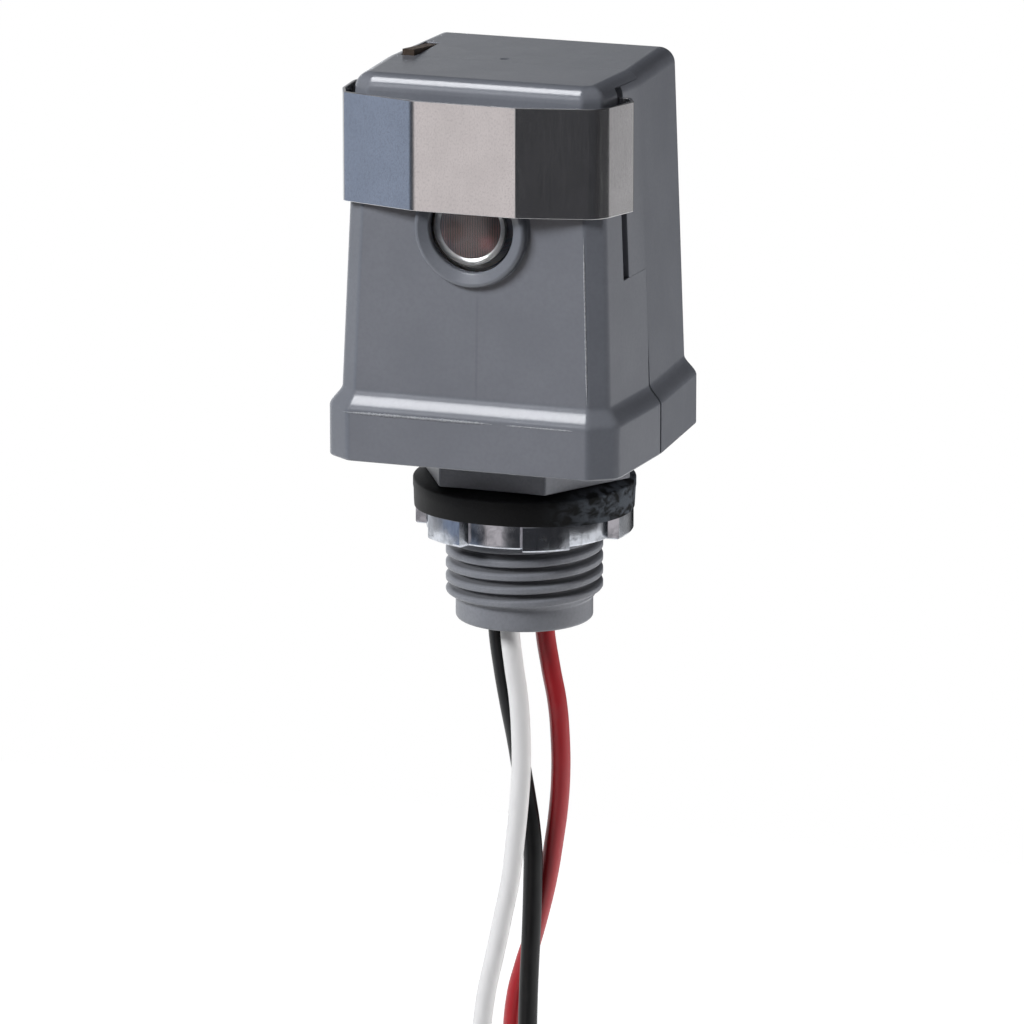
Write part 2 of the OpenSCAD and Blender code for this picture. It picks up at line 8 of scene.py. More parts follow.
import bmesh
import bpy
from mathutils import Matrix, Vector


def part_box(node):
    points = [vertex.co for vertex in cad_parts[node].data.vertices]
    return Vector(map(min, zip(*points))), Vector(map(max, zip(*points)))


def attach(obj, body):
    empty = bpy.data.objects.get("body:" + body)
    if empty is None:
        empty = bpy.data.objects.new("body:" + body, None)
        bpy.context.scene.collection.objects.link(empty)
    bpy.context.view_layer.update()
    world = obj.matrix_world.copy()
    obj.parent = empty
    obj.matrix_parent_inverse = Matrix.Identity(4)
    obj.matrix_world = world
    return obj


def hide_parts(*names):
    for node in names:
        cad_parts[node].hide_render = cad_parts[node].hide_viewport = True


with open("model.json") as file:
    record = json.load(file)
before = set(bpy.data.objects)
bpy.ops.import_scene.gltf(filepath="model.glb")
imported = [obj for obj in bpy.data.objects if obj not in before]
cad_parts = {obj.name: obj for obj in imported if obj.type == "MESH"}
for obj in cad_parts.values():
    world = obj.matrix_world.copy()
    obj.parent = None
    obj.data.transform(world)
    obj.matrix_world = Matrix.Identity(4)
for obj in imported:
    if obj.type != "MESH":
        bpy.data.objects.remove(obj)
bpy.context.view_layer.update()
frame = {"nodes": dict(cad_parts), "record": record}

MM = 0.001

# Heights along the stem
MOUTH_Z, THREAD_END_Z, NUT_TOP_Z, HEX_Z = -12.2, -9.0, 3.7, 7.7
BASE_Z, FLOOR_Z, RIM_Z, TOP_Z = 12.7, 14.3, 19.3, 63.2
LENS_Z = 44.2
SLOT_LOW_Z, SLOT_HIGH_Z = 37.3, 62.2
SHIELD_LOW_Z, SHIELD_H = 46.7, 14.3

# Housing in plan
HALF_W, BASE_FRONT, BASE_REAR, SEAM_Y = 20.8, -22.4, 14.3, -5.6
FRONT_DRAFT = math.atan(1.0 / 16.8)
REAR_DRAFT = math.atan(1.1 / 19.9)
BODY_STEP, COVE_H, SIDE_LEAN, FRONT_LEAN = 1.5, 2.8, 1.7, 1.6
CORNER_CUT, CORNER_ANGLE = 2.3, math.radians(35)
REAR_CUT, REAR_TURN, LEAST_CUT = 1.1, math.radians(45), 0.15
TOP_R, WALL = 2.1, 1.6
SLOT_Y, SLOT_W = -12.2, 1.7
TONGUE_Y = 0.8
SEAM_GAP, HAIR_GAP = 0.12, 0.03
NECK_HALF, NECK_GAP = 9.0, 0.1
FAR = 90.0


def link(obj):
    bpy.context.scene.collection.objects.link(obj)
    return obj


def direction(azimuth, elevation):
    """Unit vector in degrees: azimuth from the front towards the right, elevation from level."""
    a, e = math.radians(azimuth), math.radians(elevation)
    return Vector((math.sin(a) * math.cos(e), -math.cos(a) * math.cos(e), math.sin(e)))


# The camera

def photo_camera():
    aim, distance = Vector((-1.556, -0.555, 1.836)) * MM, 1.001
    back = direction(19.64, 14.505)
    lens = bpy.data.cameras.new("photo_camera")
    lens.sensor_width = 36
    lens.lens = 266.93
    lens.clip_end = 20
    camera = link(bpy.data.objects.new("photo_camera", lens))
    camera.location = aim + back * distance
    camera.rotation_euler = back.to_track_quat("Z", "Y").to_euler()
    bpy.context.scene.camera = camera


photo_camera()


# Finishes: every expression on a Value adds a Math node to the finish it belongs to

class Value:
    """A node's output that Python's operators work on."""

    def __init__(self, finish, socket):
        self.finish = finish
        self.socket = socket

    def math(self, operation, first, second):
        return self.finish.node("Math", {"operation": operation}, {0: first, 1: second})

    def __add__(self, other):
        return self.math("ADD", self, other)

    def __sub__(self, other):
        return self.math("SUBTRACT", self, other)

    def __rsub__(self, other):
        return self.math("SUBTRACT", other, self)

    def __mul__(self, other):
        return self.math("MULTIPLY", self, other)

    def __pow__(self, other):
        return self.math("POWER", self, other)

    def __rpow__(self, other):
        return self.math("POWER", other, self)

    def __abs__(self):
        return self.math("ABSOLUTE", self, 0)

    __radd__ = __add__
    __rmul__ = __mul__


class Finish:
    """A material or world made of nodes, read in millimetres on the piece itself."""

    def __init__(self, owner):
        owner.use_nodes = True
        self.owner = owner
        self.tree = owner.node_tree
        self.tree.nodes.clear()

    def node(self, kind, settings=None, sockets=None, output=0):
        """A node's output: its settings are set first, then its sockets' values or links."""
        made = self.tree.nodes.new("ShaderNode" + kind)
        for name, setting in (settings or {}).items():
            setattr(made, name, setting)
        for name, given in (sockets or {}).items():
            socket = made.inputs[name]
            if isinstance(given, Value):
                self.tree.links.new(given.socket, socket)
            elif isinstance(given, tuple) and len(given) == 3 and socket.type == "RGBA":
                socket.default_value = (*given, 1)
            else:
                socket.default_value = given
        return Value(self, made.outputs[output])

    def place(self, stretch=(1, 1, 1)):
        """The point on the piece in millimetres, stretched along the axes."""
        at = self.node("TexCoord", output=3)
        scale = tuple(1 / MM * s for s in stretch)
        return self.node("VectorMath", {"operation": "MULTIPLY"}, {0: at, 1: scale})

    def axes(self):
        at = self.place()
        return [self.node("SeparateXYZ", None, {0: at}, k) for k in range(3)]

    def noise(self, size, detail=2, stretch=(1, 1, 1), warp=0):
        return self.node("TexNoise", None, {
            "Vector": self.place(stretch), "Scale": 1 / size, "Detail": detail, "Distortion": warp})

    def between(self, value, low, high, to_low=0, to_high=1):
        return self.node("MapRange", {"interpolation_type": "SMOOTHSTEP"}, {
            "Value": value, "From Min": low, "From Max": high, "To Min": to_low, "To Max": to_high})

    def near(self, value, centre, width, soft):
        """1 within width of centre, fading out over soft."""
        return self.between(abs(value - centre), width, width + soft, 1, 0)

    def mix(self, share, first, second):
        return self.node("Mix", {"data_type": "RGBA"}, {0: share, 6: first, 7: second}, 2)

    def bump(self, height, depth, strength=1, under=None):
        sockets = {"Height": height, "Distance": depth * MM, "Strength": strength}
        if under is not None:
            sockets["Normal"] = under
        return self.node("Bump", None, sockets)

    def surface(self, **sockets):
        named = {key.replace("_", " ").title().replace("Ior", "IOR"): given for key, given in sockets.items()}
        self.output(self.node("BsdfPrincipled", None, named))
        return self.owner

    def output(self, shader, kind="Material"):
        end = self.tree.nodes.new("ShaderNodeOutput" + kind)
        self.tree.links.new(shader.socket, end.inputs[0])


def finish(name):
    return Finish(bpy.data.materials.new(name))


def moulded_grey():
    """Housing plastic: faint clouds, fine grain, shallow sinks and a knit line below the lens."""
    f = finish("moulded_grey")
    x, y, z = f.axes()
    cloud = f.between(f.noise(9, 3), 0.3, 0.7)
    fine = f.noise(0.5, 3)
    grain = f.noise(0.16, 2)
    colour = f.mix(cloud, (0.158, 0.166, 0.189), (0.172, 0.180, 0.204))
    colour = f.mix(f.between(fine, 0.3, 0.75, 0, 0.35), colour, (0.140, 0.147, 0.168))
    knit = f.near(x, 0.75, 0.05, 0.22) * f.between(z, 21, 24) * f.between(z, 33, 37, 1, 0)
    knit = knit * f.between(y, -15, -16)
    colour = f.mix(knit * 0.22, colour, (0.09, 0.095, 0.11))
    sink = f.noise(1.7, 3, (1, 1, 1), 0.3)
    relief = f.bump(grain, 0.006, 0.5, f.bump(sink, 0.03, 0.35, f.bump(cloud, 0.04, 0.3)))
    return f.surface(base_color=colour, roughness=0.17 + 0.07 * fine, normal=relief)


def pale_flash():
    """Thin plastic squeezed out at a mould edge, paler than the rest."""
    f = finish("pale_flash")
    fine = f.noise(0.3, 3)
    colour = f.mix(f.between(fine, 0.3, 0.7), (0.24, 0.246, 0.265), (0.38, 0.386, 0.405))
    return f.surface(base_color=colour, roughness=0.55 + 0.2 * fine, normal=f.bump(fine, 0.02, 0.3),
                     specular_ior_level=0.2)


def stem_grey():
    """Stem plastic, paler than the housing's, with painted shade darkening the thread's grooves."""
    f = finish("stem_grey")
    x, y, z = f.axes()
    cloud = f.between(f.noise(5, 3), 0.3, 0.7)
    fine = f.noise(0.4, 3)
    colour = f.mix(cloud, (0.205, 0.210, 0.230), (0.230, 0.235, 0.256))
    colour = f.mix(f.between(fine, 0.35, 0.75, 0, 0.4), colour, (0.165, 0.17, 0.187))
    radius = (x * x + y * y) ** 0.5
    # painted shade: the colour in the thread's grooves is darkened to stand in for the shade that falls in
    # them
    painted_groove_shade = f.between(radius, 9.75, 10.15, 1, 0) * f.between(z, THREAD_END_Z + 0.4, THREAD_END_Z + 0.9)
    colour = f.mix(painted_groove_shade * 0.6, colour, (0.05, 0.05, 0.053))
    relief = f.bump(fine, 0.015, 0.5)
    return f.surface(base_color=colour, roughness=0.3 + 0.14 * fine, normal=relief, specular_ior_level=0.25)


def dull_rubber():
    """Black rubber, dusty in blots towards the right of its rim."""
    f = finish("dull_rubber")
    x, _, z = f.axes()
    dust = f.between(f.noise(1.7, 5, (1, 1, 1.6), 0.5), 0.38, 0.62)
    worn = f.between(x + 3 * f.noise(2.5, 2), 6, 15.5)
    patch = worn * worn * f.between(z, HEX_Z - 0.5, HEX_Z, 1, 0)
    fine = f.noise(0.25, 2)
    colour = f.mix(dust * patch, (0.004, 0.004, 0.0042), (0.072, 0.081, 0.095))
    colour = f.mix(f.between(fine, 0.4, 0.8, 0, 0.3), colour, (0.012, 0.012, 0.0125))
    relief = f.bump(fine, 0.03, 0.6, f.bump(dust * patch, 0.04, 0.4))
    return f.surface(base_color=colour, roughness=0.5 + 0.2 * patch, normal=relief, specular_ior_level=0.14)


def bright_zinc():
    """Zinc plating with dull blots, and painted reflections of the room as darker blots and dark upright
    streaks in its colour.
    """
    f = finish("bright_zinc")
    streak_and_painted_reflection = f.noise(0.9, 2, (1, 1, 0.2), 0.3)
    dull_blot_and_painted_reflection = f.between(f.noise(1.6, 4, (1, 1, 1), 0.6), 0.4, 0.7)
    # painted reflection: the darker blots in the colour stand in for dark parts of the room mirrored in the
    # zinc, as well as for dull plating
    colour = f.mix(dull_blot_and_painted_reflection, (0.50, 0.52, 0.56), (0.32, 0.333, 0.36))
    # painted reflection: the dark upright streaks in the colour stand in for the room mirrored in the zinc
    colour = f.mix(f.between(streak_and_painted_reflection, 0.55, 0.75, 0, 0.4), colour, (0.18, 0.185, 0.2))
    relief = f.bump(streak_and_painted_reflection, 0.03, 0.3, f.bump(f.noise(0.4, 2), 0.008, 0.3))
    return f.surface(base_color=colour, metallic=1.0, roughness=0.14 + 0.14 * dull_blot_and_painted_reflection, normal=relief)


def mill_sheet():
    """Rolled sheet with fine pits and a few bright upright scratches."""
    f = finish("mill_sheet")
    pits = f.noise(0.2, 3, (1, 1, 0.6))
    rolled = f.noise(0.35, 3, (1, 1, 0.06))
    cloud = f.between(f.noise(4, 3), 0.3, 0.7)
    scratch = f.between(f.noise(0.3, 2, (1, 1, 0.07), 0.3), 0.69, 0.74)
    colour = f.mix(cloud, (0.705, 0.702, 0.70), (0.75, 0.747, 0.745))
    colour = f.mix(f.between(pits, 0.45, 0.7, 0, 0.32), colour, (0.48, 0.48, 0.49))
    colour = f.mix(scratch * 0.35, colour, (0.82, 0.82, 0.82))
    relief = f.bump(pits, 0.008, 0.4, f.bump(rolled, 0.008, 0.3))
    return f.surface(base_color=colour, metallic=1.0, roughness=0.14 + 0.08 * rolled, normal=relief)


def clear_window():
    """Clear plastic with a slight haze in places."""
    f = finish("clear_window")
    haze = f.noise(0.8, 4)
    return f.surface(base_color=(0.93, 0.94, 0.95), transmission_weight=1.0, ior=1.49,
                     roughness=f.between(haze, 0.5, 0.8, 0.02, 0.07))


def cell_track():
    """Coated cell: dark upright stripes of its folded track, with a painted red glint low at the right."""
    f = finish("cell_track")
    x, _, z = f.axes()
    pitch = 0.32
    sweep = f.node("Math", {"operation": "PINGPONG"}, {0: x, 1: pitch})
    stripe = f.between(abs(sweep - pitch / 2), 0.05, 0.1)
    wander = f.noise(1.2, 3)
    colour = f.mix(stripe, (0.026, 0.019, 0.018), (0.135, 0.057, 0.046))
    colour = f.mix(f.between(wander, 0.4, 0.7, 0, 0.5), colour, (0.075, 0.056, 0.054))
    # painted highlight: a red glint low at the right of the cell, put into the colour
    painted_red_glint = f.near(x, 1.6, 0.3, 1.1) * f.near(z, LENS_Z - 1.9, 0.3, 1.0)
    colour = f.mix(painted_red_glint * 0.7, colour, (0.22, 0.06, 0.06))
    return f.surface(base_color=colour, roughness=0.35 + 0.2 * wander, normal=f.bump(stripe, 0.05, 0.6))


def brown_laminate():
    """Pressed paper board with its grain along the depth."""
    f = finish("brown_laminate")
    paper = f.noise(0.5, 4, (1, 0.3, 1))
    colour = f.mix(paper, (0.034, 0.025, 0.020), (0.066, 0.047, 0.035))
    return f.surface(base_color=colour, roughness=0.5 + 0.15 * paper, normal=f.bump(paper, 0.03, 0.5))


def metal(name, dark, light, roughness):
    """Drawn or rolled metal with faint marks along it and blots between two colours."""
    f = finish(name)
    drawn = f.noise(0.5, 3, (1, 1, 0.2))
    dull_blot_and_painted_reflection = f.noise(2.0, 3)
    colour = f.mix(f.between(dull_blot_and_painted_reflection, 0.3, 0.7), dark, light)
    return f.surface(base_color=colour, metallic=1.0, roughness=roughness + 0.15 * drawn,
                     normal=f.bump(drawn, 0.01, 0.4))


def dull_body(name, dark, light, roughness):
    """Enamel or resin with blots between two colours."""
    f = finish(name)
    dull_blot_and_painted_reflection = f.noise(1.0, 4)
    colour = f.mix(f.between(dull_blot_and_painted_reflection, 0.3, 0.7), dark, light)
    return f.surface(base_color=colour, roughness=roughness + 0.15 * dull_blot_and_painted_reflection, normal=f.bump(dull_blot_and_painted_reflection, 0.03, 0.5))


def insulation(name, base, worn, sheen, gloss=0.5):
    """Wire covering: base colour with faint draw marks along it and a little dust."""
    f = finish(name)
    draw = f.noise(0.6, 3, (1, 1, 0.04))
    dust = f.between(f.noise(1.8, 4, (1, 1, 0.4)), 0.5, 0.75)
    colour = f.mix(dust * 0.5 + draw * 0.25, base, worn)
    return f.surface(base_color=colour, roughness=sheen + 0.12 * draw + 0.1 * dust,
                     specular_ior_level=gloss, normal=f.bump(draw, 0.02, 0.5))


FINISHES = {
    "housing_plastic": moulded_grey(),
    "stem_plastic": stem_grey(),
    "gasket_rubber": dull_rubber(),
    "zinc_steel": bright_zinc(),
    "shield_sheet": mill_sheet(),
    "clear_lens": clear_window(),
    "cell_ceramic": cell_track(),
    "tinned_wire": metal("tinned_wire", (0.5, 0.5, 0.48), (0.66, 0.66, 0.64), 0.3),
    "brown_board": brown_laminate(),
    "resistor_body": dull_body("tan_enamel", (0.33, 0.26, 0.16), (0.46, 0.38, 0.25), 0.4),
    "bimetal": metal("rolled_bimetal", (0.45, 0.29, 0.19), (0.62, 0.42, 0.28), 0.3),
    "contact_metal": metal("silver_contact", (0.62, 0.61, 0.59), (0.78, 0.77, 0.75), 0.25),
    "brass_strip": metal("rolled_brass", (0.52, 0.36, 0.15), (0.68, 0.5, 0.24), 0.3),
    "plug_resin": dull_body("sealing_resin", (0.016, 0.016, 0.016), (0.035, 0.034, 0.034), 0.55),
    "black_insulation": insulation("black_cover", (0.004, 0.004, 0.0045), (0.012, 0.012, 0.0125), 0.3, 0.3),
    "white_insulation": insulation("white_cover", (0.80, 0.785, 0.78), (0.70, 0.685, 0.68), 0.36),
    "red_insulation": insulation("red_cover", (0.37, 0.011, 0.017), (0.33, 0.035, 0.042), 0.28),
    "copper_strand": metal("stripped_copper", (0.58, 0.27, 0.14), (0.76, 0.41, 0.24), 0.25),
}


# Pieces

def piece(name, data, body, slot, *nodes):
    """A named piece on a body, with the finish of its slot, that stands for some nodes."""
    obj = link(bpy.data.objects.new(name, data))
    return dress(obj, body, slot, *nodes)


def dress(obj, body, slot, *nodes):
    """Puts an object on a body, with the finish of its slot, in place of some nodes."""
    obj.data.materials.clear()
    obj.data.materials.append(FINISHES[slot])
    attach(obj, body)
    if nodes:
        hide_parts(*nodes)
    return obj


# The leads: each hangs out of the stem's plug, along the points of its solid, measured from the plug

PLUG_Z = -11.2
LEAD_D = 2.6
ROUTES = {
    "black": [(-3.2, -1.7, 0), (-3.1, -1.65, -3), (-2.5, -1.45, -8), (-1.7, -1.2, -13), (-1.0, -0.6, -17.6),
              (-0.5, 0.1, -22), (0.1, 0.6, -26.5), (0.65, 0.7, -30.3), (0.95, 0.75, -34), (0.9, 0.8, -38),
              (0.75, 0.75, -44), (0.35, 0.65, -54), (0.2, 0.6, -64), (0.3, 0.6, -82), (0.4, 0.6, -104),
              (0.4, 0.6, -128), (0.4, 0.6, -152)],
    "white": [(-0.9, -3.4, 0), (-0.8, -3.35, -3), (-0.3, -3.2, -7.5), (0.25, -3.1, -11.5), (0.6, -3.05, -17),
              (0.65, -3.1, -21), (0.4, -3.15, -25.5), (-0.1, -3.3, -31), (-0.75, -3.6, -37),
              (-1.6, -3.85, -41.5), (-2.7, -4.05, -47), (-3.95, -4.2, -53), (-4.7, -4.2, -60),
              (-5.0, -4.1, -72), (-4.9, -4.0, -92), (-4.8, -4.0, -120), (-4.8, -4.0, -152)],
    "red": [(2.3, 1.2, 0), (2.4, 1.3, -3), (3.1, 1.75, -8.5), (3.85, 2.15, -13.2), (4.15, 2.5, -18),
            (4.1, 2.9, -23.5), (3.65, 3.25, -28.4), (2.95, 3.5, -33), (2.05, 3.75, -38), (0.8, 3.95, -43.2),
            (-0.35, 4.1, -47.3), (-1.6, 4.2, -51.2), (-2.65, 4.25, -55.2), (-3.3, 4.3, -61), (-3.6, 4.3, -72),
            (-3.5, 4.3, -95), (-3.4, 4.3, -124), (-3.4, 4.3, -152)],
}


def hung(point):
    """A route's point, in metres from the origin."""
    return Vector((point[0], point[1], point[2] + PLUG_Z)) * MM


def lead_curve(name, points):
    curve = bpy.data.curves.new(name, "CURVE")
    curve.dimensions = "3D"
    curve.bevel_depth = LEAD_D / 2 * MM
    curve.bevel_resolution = 8
    curve.resolution_u = 10
    curve.use_fill_caps = True
    spline = curve.splines.new("BEZIER")
    spline.bezier_points.add(len(points) - 1)
    for knot, point in zip(spline.bezier_points, points):
        knot.co = point
        knot.handle_left_type = knot.handle_right_type = "AUTO"
    return curve


def solid_mesh(name, verts, faces):
    mesh = bpy.data.meshes.new(name)
    mesh.from_pydata([Vector(v) * MM for v in verts], [], faces)
    mesh.update()
    return mesh


def stack_faces(rings, around, start=0):
    """Quads between rings of the same number of points."""
    return [(start + k * around + i, start + k * around + (i + 1) % around,
             start + (k + 1) * around + (i + 1) % around, start + (k + 1) * around + i)
            for k in range(rings - 1) for i in range(around)]


def closed_stack(name, rings):
    """A closed skin through rings that run anticlockwise from above, bottom ring first."""
    around = len(rings[0])
    faces = stack_faces(len(rings), around)
    faces.append(tuple(reversed(range(around))))
    last = (len(rings) - 1) * around
    faces.append(tuple(range(last, last + around)))
    return solid_mesh(name, [p for ring in rings for p in ring], faces)


def smooth(obj, angle):
    """Smooth shading with sharp edges above an angle in degrees."""
    for face in obj.data.polygons:
        face.use_smooth = True
    obj.data.set_sharp_from_angle(angle=math.radians(angle))


def bare_strands(name, tip):
    """Seven twisted strands below a lead's end."""
    verts, faces = [], []
    rows, around, strand_r, lay_r, turns, spread, length = 24, 8, 0.25, 0.49, 1.1, 0.25, 10.0
    for s in range(7):
        start = len(verts)
        reach = 0 if s == 6 else lay_r
        for k in range(rows + 1):
            t = k / rows
            a = 2 * math.pi * (s / 6 + turns * t)
            fan = 1 + spread * t * t
            middle = (reach * fan * math.cos(a), reach * fan * math.sin(a))
            for i in range(around):
                b = -2 * math.pi * i / around
                verts.append((tip[0] + middle[0] + strand_r * math.cos(b),
                              tip[1] + middle[1] + strand_r * math.sin(b), tip[2] - length * t))
        faces += stack_faces(rows + 1, around, start)
        faces.append(tuple(start + i for i in reversed(range(around))))
        faces.append(tuple(start + rows * around + i for i in range(around)))
    return solid_mesh(name, verts, faces)


def leads():
    """Three covered leads, each with its bare strands."""
    joined_tips = []
    for colour, route in ROUTES.items():
        points = [hung(p) for p in route]
        name = colour + "_lead"
        tip = piece(colour + "_strands", bare_strands(colour + "_strands", points[-1] / MM),
                    "housing", "copper_strand")
        smooth(tip, 50)
        joined_tips.append(tip)
        lead = piece(name + "_cover", lead_curve(name, points), "housing", colour + "_insulation", name)
    for tip in joined_tips:
        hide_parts("stripped_tips")


leads()


# Working on solids

def temporary(mesh):
    """An object to work on, which is dressed or used up later."""
    return link(bpy.data.objects.new(mesh.name, mesh))


def prism(name, plan, low_z, high_z):
    """An upright solid over a plan that runs anticlockwise from above."""
    return temporary(closed_stack(name, [[(x, y, z) for x, y in plan] for z in (low_z, high_z)]))


def block(low, high):
    (x0, y0, z0), (x1, y1, z1) = low, high
    return prism("block", [(x0, y0), (x1, y0), (x1, y1), (x0, y1)], z0, z1)


def settle(obj):
    """Applies the modifiers of an object to its mesh."""
    graph = bpy.context.evaluated_depsgraph_get()
    made = bpy.data.meshes.new_from_object(obj.evaluated_get(graph))
    obj.modifiers.clear()
    obj.data = made


def combine(obj, other, operation):
    """A Boolean step on an object, which uses up the other one."""
    step = obj.modifiers.new(operation, "BOOLEAN")
    step.operation = operation
    step.solver = "EXACT"
    step.object = other
    settle(obj)
    bpy.data.objects.remove(other)
    return obj


def cut(obj, *others):
    for other in others:
        combine(obj, other, "DIFFERENCE")
    return obj


def ease_edges(obj, width, steps=2, angle=40, keep_crisp=None):
    """A small round on every edge sharper than an angle, apart from those that stay crisp."""
    work = bmesh.new()
    work.from_mesh(obj.data)
    share = work.edges.layers.float.new("bevel_weight_edge")
    for edge in work.edges:
        ends = [v.co / MM for v in edge.verts]
        sharp = len(edge.link_faces) == 2 and edge.calc_face_angle(0) > math.radians(angle)
        edge[share] = 1.0 if sharp and not (keep_crisp and keep_crisp(*ends)) else 0.0
    work.to_mesh(obj.data)
    work.free()
    step = obj.modifiers.new("eased", "BEVEL")
    step.width = width * MM
    step.segments = steps
    step.limit_method = "WEIGHT"
    step.use_clamp_overlap = False
    step.miter_outer = "MITER_ARC"
    settle(obj)


def even_light(obj, angle):
    """Smooth shading that large faces lead, with sharp edges above an angle."""
    smooth(obj, angle)
    step = obj.modifiers.new("even", "WEIGHTED_NORMAL")
    step.keep_sharp = True
    settle(obj)


def polar(r, degrees):
    return r * math.cos(math.radians(degrees)), r * math.sin(math.radians(degrees))


AXIS_R = 0.001


def turned(profile, steps):
    """Points and faces of a closed loop of (radius, along) points, turned about +Z. A loop that reaches the
    axis stops at AXIS_R."""
    verts = [(*polar(r, 360 * i / steps), along) for i in range(steps) for r, along in profile]
    n = len(profile)
    faces = []
    for i in range(steps):
        this, following = i * n, (i + 1) % steps * n
        faces += [(this + k, following + k, following + (k + 1) % n, this + (k + 1) % n) for k in range(n)]
    return verts, faces


def on_lens_axis(verts):
    """Turned points laid along the lens axis: distance along is in front of the stem."""
    return [(x, -along, LENS_Z + y) for x, y, along in verts]


def arc(centre, r, start, end, steps):
    """Points on an arc, angles in degrees."""
    points = [polar(r, start + (end - start) * k / steps) for k in range(steps + 1)]
    return [(centre[0] + x, centre[1] + y) for x, y in points]


def eased(t):
    """From 0 to 1, level at both ends."""
    t = min(max(t, 0), 1)
    return t * t * (3 - 2 * t)


# The housing. Its outlines are set in from the base's plan by side at the flanks, by front and by rear. The
# part of that which is an even inset from the body is called more: the cut corners narrow with it.

def side_at(y, side):
    """Half width of an outline at a depth: it tapers both ways from the seam."""
    draft = FRONT_DRAFT if y < SEAM_Y else REAR_DRAFT
    return HALF_W - side - abs(y - SEAM_Y) * math.tan(draft)


def eased_corner(at, start, end, r, steps):
    """A round of radius r at a corner whose outward direction turns from start to end degrees."""
    middle, half = math.radians((start + end) / 2), math.radians((end - start) / 2)
    reach = r / math.cos(half)
    centre = (at[0] - reach * math.cos(middle), at[1] - reach * math.sin(middle))
    return arc(centre, r, start, end, steps)


CRISP_R, SOFT_R, REAR_SOFT, LEAST_SHARE, CORNER_STEPS = 1.2, 1.4, 0.7, 0.15, 7


def front_corner(y, side, more):
    """Cut corner at the front, right-hand side, from the front to the flank."""
    cut_back = CORNER_CUT - more * (1 - math.tan(CORNER_ANGLE / 2))
    share = max(cut_back / CORNER_CUT, LEAST_SHARE)
    edge = (side_at(y, side) - cut_back, y)
    span = cut_back / (math.cos(CORNER_ANGLE) - math.sin(CORNER_ANGLE) * math.tan(FRONT_DRAFT))
    flank = (edge[0] + span * math.cos(CORNER_ANGLE), edge[1] + span * math.sin(CORNER_ANGLE))
    turn = math.degrees(CORNER_ANGLE)
    first = eased_corner(edge, -90, turn - 90, CRISP_R * share, CORNER_STEPS)
    return first + eased_corner(flank, turn - 90, -math.degrees(FRONT_DRAFT), SOFT_R * share, CORNER_STEPS)


def rear_corner(y, side, more):
    """Smaller cut corner at the rear, right-hand side, from the flank to the back."""
    cut_back = max(REAR_CUT - more * (1 - math.tan(REAR_TURN / 2)), LEAST_CUT)
    edge = (side_at(y, side) - cut_back, y)
    span = cut_back / (math.cos(REAR_TURN) * (1 - math.tan(REAR_DRAFT)))
    flank = (edge[0] + span * math.cos(REAR_TURN), edge[1] - span * math.sin(REAR_TURN))
    turn = math.degrees(REAR_TURN)
    first = eased_corner(flank, math.degrees(REAR_DRAFT), turn, cut_back * REAR_SOFT, CORNER_STEPS)
    return first + eased_corner(edge, turn, 90, cut_back * REAR_SOFT, CORNER_STEPS)


def outline(side, front, rear, more):
    """Plan of the housing, anticlockwise from the front's right-hand end."""
    right = front_corner(BASE_FRONT + front, side, more)
    right.append((HALF_W - side, SEAM_Y))
    right += rear_corner(BASE_REAR - rear, side, more)
    return right + [(-px, py) for px, py in reversed(right)]


def ring_at(z, side, front, rear, more):
    return [(px, py, z) for px, py in outline(side, front, rear, more)]


def body_ring(z, more):
    """Outline of the leaning body at a height."""
    share = (z - RIM_Z) / (TOP_Z - RIM_Z)
    return ring_at(z, BODY_STEP + SIDE_LEAN * share + more, BODY_STEP + FRONT_LEAN * share + more,
                   BODY_STEP + more, more)


def cove_ring(z, sweep):
    """Outline in the hollow curve, which sweeps from the flange at 0 to the body at 1."""
    rise = COVE_H / (TOP_Z - RIM_Z)
    return ring_at(z, (BODY_STEP + SIDE_LEAN * rise) * sweep, (BODY_STEP + FRONT_LEAN * rise) * sweep,
                   BODY_STEP * sweep, BODY_STEP * (sweep - 1))


def housing_skin():
    """Flange with an eased foot, hollow curve, leaning body and rounded top, as one closed skin."""
    foot_r, foot_steps, cove_steps, top_steps = 0.3, 4, 24, 16
    rings = []
    for k in range(foot_steps + 1):
        a = math.pi / 2 * k / foot_steps
        inset = foot_r * (1 - math.sin(a))
        rings.append(ring_at(BASE_Z + foot_r * (1 - math.cos(a)), inset, inset, inset, inset - BODY_STEP))
    for k in range(cove_steps + 1):
        t = k / cove_steps
        rings.append(cove_ring(RIM_Z + COVE_H * t, eased(t)))
    for k in range(top_steps + 1):
        a = math.pi / 2 * k / top_steps
        rings.append(body_ring(TOP_Z - TOP_R * (1 - math.sin(a)), TOP_R * (1 - math.cos(a))))
    return temporary(closed_stack("housing_skin", rings))


def housing_room():
    """The space inside the housing."""
    inner_r = TOP_R - WALL
    rings = [body_ring(FLOOR_Z, WALL)]
    for a in (0, math.pi / 6, math.pi / 3, math.pi / 2):
        z = TOP_Z - WALL - inner_r * (1 - math.sin(a))
        rings.append(body_ring(z, WALL + inner_r * (1 - math.cos(a))))
    return temporary(closed_stack("housing_room", rings))


BOARD_LOW, BOARD_HIGH = (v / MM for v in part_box("terminal_board"))
TONGUE_OVERLAP = 0.4
TONGUE_X = TONGUE_OVERLAP - BOARD_HIGH.x
TAB_GAP, TAB_L = 0.15, 9.2
TAB_FRONT = SEAM_Y + SEAM_GAP + TAB_GAP
CHEEK_FRONT = SLOT_Y + SLOT_W / 2


